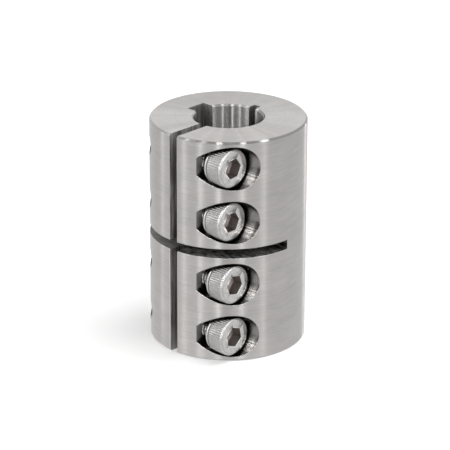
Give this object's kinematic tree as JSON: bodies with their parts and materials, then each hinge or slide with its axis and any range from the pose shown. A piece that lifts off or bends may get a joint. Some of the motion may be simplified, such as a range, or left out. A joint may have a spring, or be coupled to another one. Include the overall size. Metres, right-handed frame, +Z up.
{
  "type": "rigid shaft coupling",
  "caption": "One-piece rigid clamp coupling: split cylindrical hub with keyed through bore and cap screws that clamp two shafts end to end.",
  "frame": {"origin": "centre of the bottom end face, on the bore axis", "axes": "+Z up along the bore axis, +X the way the screw heads face, the clamping slit on the -Y side and the keyway at -X"},
  "size_m": [0.034, 0.034, 0.05],
  "materials": {
    "hub_steel": "turned and milled stainless steel, satin",
    "screw_steel": "bright cold-formed stainless steel"
  },
  "bodies": {
    "hub": {"hub": "hub_steel"},
    "screw_1": {"screw_1": "screw_steel"},
    "screw_2": {"screw_2": "screw_steel"},
    "screw_3": {"screw_3": "screw_steel"},
    "screw_4": {"screw_4": "screw_steel"}
  },
  "joints": [
    {"name": "screw_1_travel", "type": "slide", "parent": "hub", "child": "screw_1", "axis": [1, 0, 0], "range_m": [-0.00155, 0.0076]},
    {"name": "screw_2_travel", "type": "slide", "parent": "hub", "child": "screw_2", "axis": [1, 0, 0], "range_m": [-0.0012, 0.00795]},
    {"name": "screw_3_travel", "type": "slide", "parent": "hub", "child": "screw_3", "axis": [1, 0, 0], "range_m": [-0.00215, 0.007]},
    {"name": "screw_4_travel", "type": "slide", "parent": "hub", "child": "screw_4", "axis": [1, 0, 0], "range_m": [-0.00205, 0.0071]}
  ]
}
